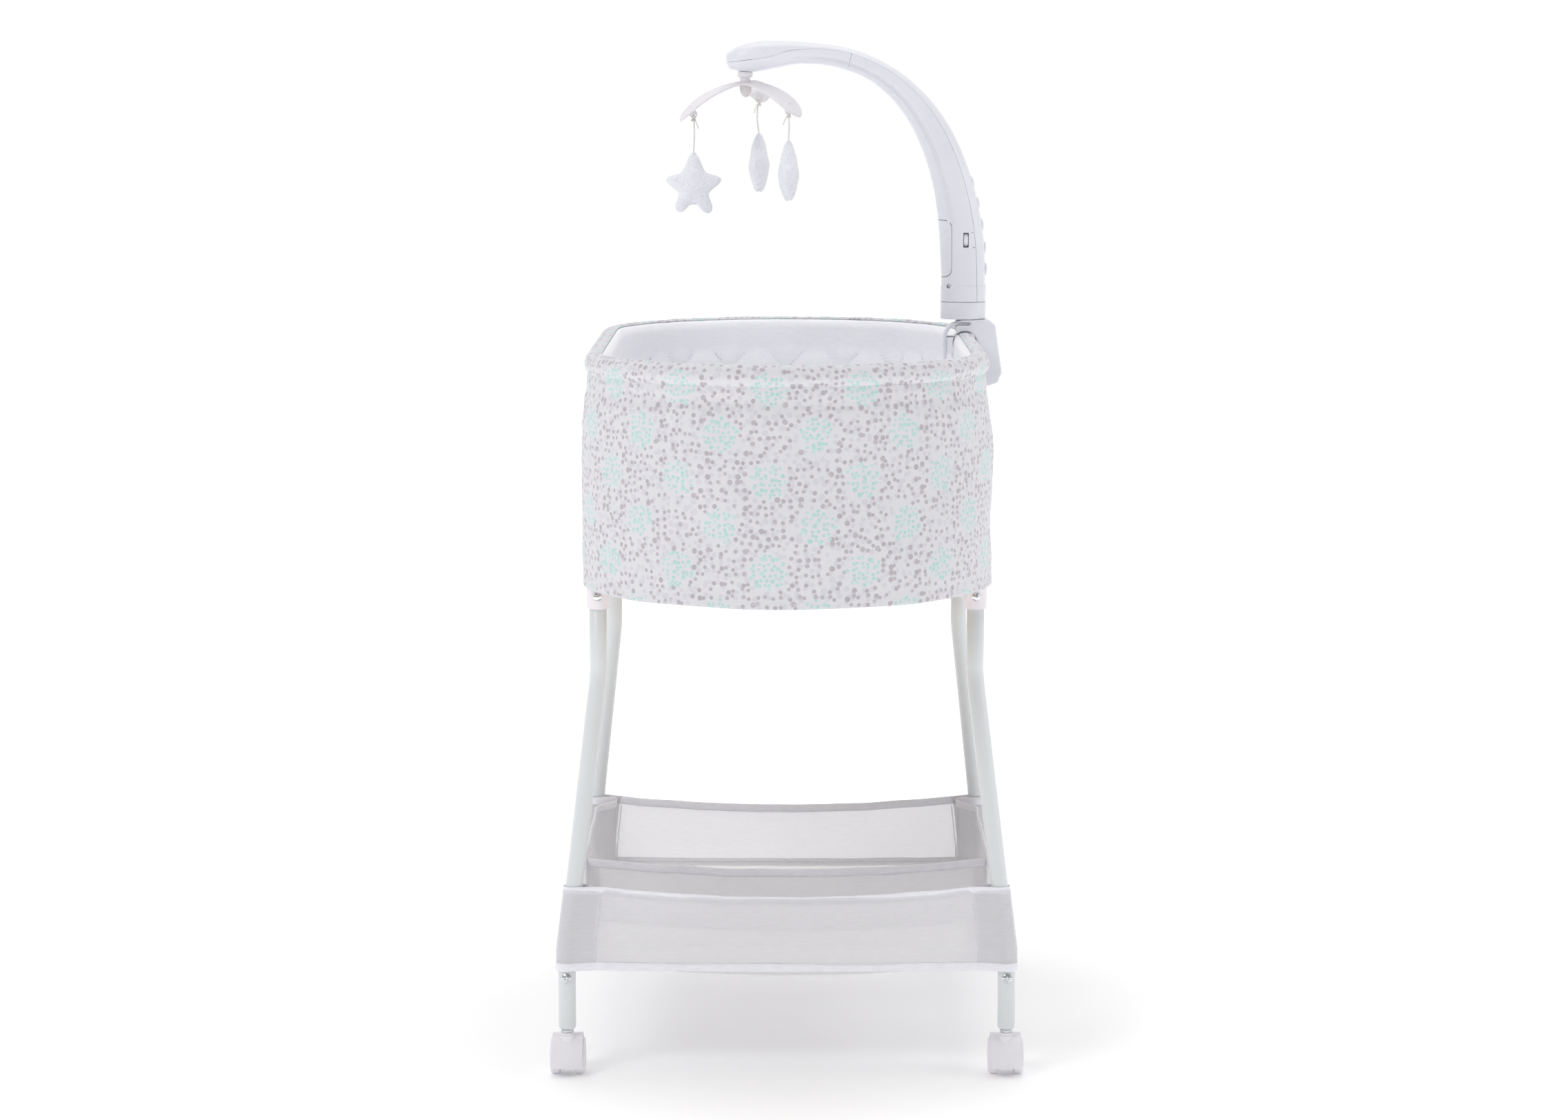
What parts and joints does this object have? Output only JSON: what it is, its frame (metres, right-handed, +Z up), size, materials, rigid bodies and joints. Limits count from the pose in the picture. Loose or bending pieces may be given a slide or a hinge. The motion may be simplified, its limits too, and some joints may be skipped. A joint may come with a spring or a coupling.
{
  "type": "bassinet",
  "caption": "Oval padded bassinet basket on a splayed tubular stand with casters, a fabric storage bin below and an arched mobile arm with hanging stars.",
  "frame": {"origin": "centre of the caster footprint, on the floor", "axes": "+Z up, +Y along the basket from the foot end to the far end, +X across towards the mobile arm's foot"},
  "size_m": [0.5164, 0.822, 1.1214],
  "materials": {
    "rail_steel": "satin",
    "board": "matte",
    "mattress": "soft woven",
    "liner_cloth": "quilted satin",
    "print_cloth": "printed cotton",
    "sheer_cloth": "sheer weave",
    "binding_cloth": "woven tape",
    "leg_steel": "satin",
    "bracket_plastic": "moulded",
    "screw_steel": "zinc plated",
    "bolt_steel": "polished",
    "caster_plastic": "moulded",
    "brake_plastic": "moulded",
    "mobile_plastic": "satin gloss",
    "button_plastic": "satin gloss",
    "pad_rubber": "matte",
    "cell_metal": "sleeved",
    "board_green": "laminate",
    "motor_steel": "plain",
    "string_cord": "braided",
    "plush": "plush pile"
  },
  "bodies": {
    "stand": {"top_rail": "rail_steel", "base_rail": "rail_steel", "cross_rails": "rail_steel", "corner_posts": "rail_steel", "base_board": "board", "liner": "liner_cloth", "outer_skirt": "print_cloth", "rim_padding": "print_cloth", "bracket_fl": "bracket_plastic", "bracket_fr": "bracket_plastic", "bracket_rl": "bracket_plastic", "bracket_rr": "bracket_plastic", "bracket_bolts": "bolt_steel", "upper_leg_fl": "leg_steel", "upper_leg_fr": "leg_steel", "upper_leg_rl": "leg_steel", "upper_leg_rr": "leg_steel", "lower_legs": "leg_steel", "leg_screws": "screw_steel", "caster_stems": "screw_steel", "storage_front_panel": "sheer_cloth", "storage_rear_panel": "sheer_cloth", "storage_bin": "sheer_cloth", "storage_divider": "binding_cloth", "clamp_housing": "mobile_plastic", "clamp_hook": "mobile_plastic", "clamp_pad": "pad_rubber"},
    "mattress": {"mattress_pad": "mattress"},
    "swivel_fl": {"caster_hood_fl": "caster_plastic"},
    "wheels_fl": {"caster_wheels_fl": "caster_plastic"},
    "swivel_fr": {"caster_hood_fr": "caster_plastic"},
    "wheels_fr": {"caster_wheels_fr": "caster_plastic"},
    "swivel_rl": {"caster_hood_rl": "caster_plastic"},
    "wheels_rl": {"caster_wheels_rl": "caster_plastic"},
    "swivel_rr": {"caster_hood_rr": "caster_plastic"},
    "wheels_rr": {"caster_wheels_rr": "caster_plastic"},
    "brake_rl": {"brake_lever_rl": "brake_plastic"},
    "brake_rr": {"brake_lever_rr": "brake_plastic"},
    "arm": {"arm_collar": "mobile_plastic", "arm_outer_shell": "mobile_plastic", "arm_inner_shell": "mobile_plastic", "head_cover": "mobile_plastic", "battery_cells": "cell_metal", "circuit_board": "board_green", "motor_unit": "motor_steel"},
    "door": {"battery_door": "mobile_plastic"},
    "volume": {"volume_wheel": "button_plastic"},
    "key_1": {"button_1": "button_plastic"},
    "key_2": {"button_2": "button_plastic"},
    "key_3": {"button_3": "button_plastic"},
    "key_4": {"button_4": "button_plastic"},
    "key_5": {"button_5": "button_plastic"},
    "spinner_body": {"spinner": "mobile_plastic"},
    "cord_1": {"string_1": "string_cord"},
    "toy_1": {"star_1": "plush"},
    "cord_2": {"string_2": "string_cord"},
    "toy_2": {"star_2": "plush"},
    "cord_3": {"string_3": "string_cord"},
    "toy_3": {"star_3": "plush"}
  },
  "joints": [
    {"name": "mattress_lift", "type": "slide", "parent": "stand", "child": "mattress", "axis": [0, 0, 1], "range_m": [0, 0.15]},
    {"name": "swivel_turn_fl", "type": "hinge", "parent": "stand", "child": "swivel_fl", "pos_m": [-0.239, -0.275, 0.04], "axis": [0, 0, 1], "continuous": true},
    {"name": "wheel_roll_fl", "type": "hinge", "parent": "swivel_fl", "child": "wheels_fl", "pos_m": [-0.239, -0.265, 0.02], "axis": [1, 0, 0], "continuous": true},
    {"name": "swivel_turn_fr", "type": "hinge", "parent": "stand", "child": "swivel_fr", "pos_m": [0.239, -0.275, 0.04], "axis": [0, 0, 1], "continuous": true},
    {"name": "wheel_roll_fr", "type": "hinge", "parent": "swivel_fr", "child": "wheels_fr", "pos_m": [0.239, -0.265, 0.02], "axis": [1, 0, 0], "continuous": true},
    {"name": "swivel_turn_rl", "type": "hinge", "parent": "stand", "child": "swivel_rl", "pos_m": [-0.239, 0.275, 0.04], "axis": [0, 0, 1], "continuous": true},
    {"name": "wheel_roll_rl", "type": "hinge", "parent": "swivel_rl", "child": "wheels_rl", "pos_m": [-0.239, 0.285, 0.02], "axis": [1, 0, 0], "continuous": true},
    {"name": "swivel_turn_rr", "type": "hinge", "parent": "stand", "child": "swivel_rr", "pos_m": [0.239, 0.275, 0.04], "axis": [0, 0, 1], "continuous": true},
    {"name": "wheel_roll_rr", "type": "hinge", "parent": "swivel_rr", "child": "wheels_rr", "pos_m": [0.239, 0.285, 0.02], "axis": [1, 0, 0], "continuous": true},
    {"name": "brake_press_rl", "type": "hinge", "parent": "swivel_rl", "child": "brake_rl", "pos_m": [-0.239, 0.30319, 0.04168], "axis": [1, 0, 0], "range_deg": [-20, 0]},
    {"name": "brake_press_rr", "type": "hinge", "parent": "swivel_rr", "child": "brake_rr", "pos_m": [0.239, 0.30319, 0.04168], "axis": [1, 0, 0], "range_deg": [-20, 0]},
    {"name": "arm_swivel", "type": "hinge", "parent": "stand", "child": "arm", "pos_m": [0.206, 0.12, 0.8], "axis": [0, 0, 1], "range_deg": [-90, 90]},
    {"name": "door_slide", "type": "slide", "parent": "arm", "child": "door", "axis": [-1, 0, 0], "range_m": [0, 0.025]},
    {"name": "volume_turn", "type": "hinge", "parent": "arm", "child": "volume", "pos_m": [0.208, 0.1077, 0.892], "axis": [1, 0, 0], "range_deg": [-130, 130]},
    {"name": "key_press_1", "type": "slide", "parent": "arm", "child": "key_1", "axis": [-0.9996, 0, -0.0272], "range_m": [0, 0.0012], "stiffness_N_per_m": 600},
    {"name": "key_press_2", "type": "slide", "parent": "arm", "child": "key_2", "axis": [-0.9978, 0, -0.0667], "range_m": [0, 0.0012], "stiffness_N_per_m": 600},
    {"name": "key_press_3", "type": "slide", "parent": "arm", "child": "key_3", "axis": [-0.993, 0, -0.118], "range_m": [0, 0.0012], "stiffness_N_per_m": 600},
    {"name": "key_press_4", "type": "slide", "parent": "arm", "child": "key_4", "axis": [-0.9843, 0, -0.1764], "range_m": [0, 0.0012], "stiffness_N_per_m": 600},
    {"name": "key_press_5", "type": "slide", "parent": "arm", "child": "key_5", "axis": [-0.9705, 0, -0.2411], "range_m": [0, 0.0012], "stiffness_N_per_m": 600},
    {"name": "spinner_turn", "type": "hinge", "parent": "arm", "child": "spinner_body", "pos_m": [-0.048, 0.12, 1.0745], "axis": [0, 0, 1], "continuous": true},
    {"name": "string_swing_1", "type": "hinge", "parent": "spinner_body", "child": "cord_1", "pos_m": [-0.10762, 0.10473, 1.03847], "axis": [-0.3007, 0.9537, 0], "range_deg": [-12, 35]},
    {"name": "star_twist_1", "type": "hinge", "parent": "cord_1", "child": "toy_1", "pos_m": [-0.10762, 0.10473, 1.03847], "axis": [0, 0, 1], "continuous": true},
    {"name": "string_swing_2", "type": "hinge", "parent": "spinner_body", "child": "cord_2", "pos_m": [-0.03255, 0.18693, 1.0553], "axis": [0.9763, -0.2164, 0], "range_deg": [-12, 35]},
    {"name": "star_twist_2", "type": "hinge", "parent": "cord_2", "child": "toy_2", "pos_m": [-0.03255, 0.18693, 1.0553], "axis": [0, 0, 1], "continuous": true},
    {"name": "string_swing_3", "type": "hinge", "parent": "spinner_body", "child": "cord_3", "pos_m": [0.00226, 0.0806, 1.04276], "axis": [-0.6756, -0.7373, 0], "range_deg": [-12, 35]},
    {"name": "star_twist_3", "type": "hinge", "parent": "cord_3", "child": "toy_3", "pos_m": [0.00226, 0.0806, 1.04276], "axis": [0, 0, 1], "continuous": true}
  ]
}
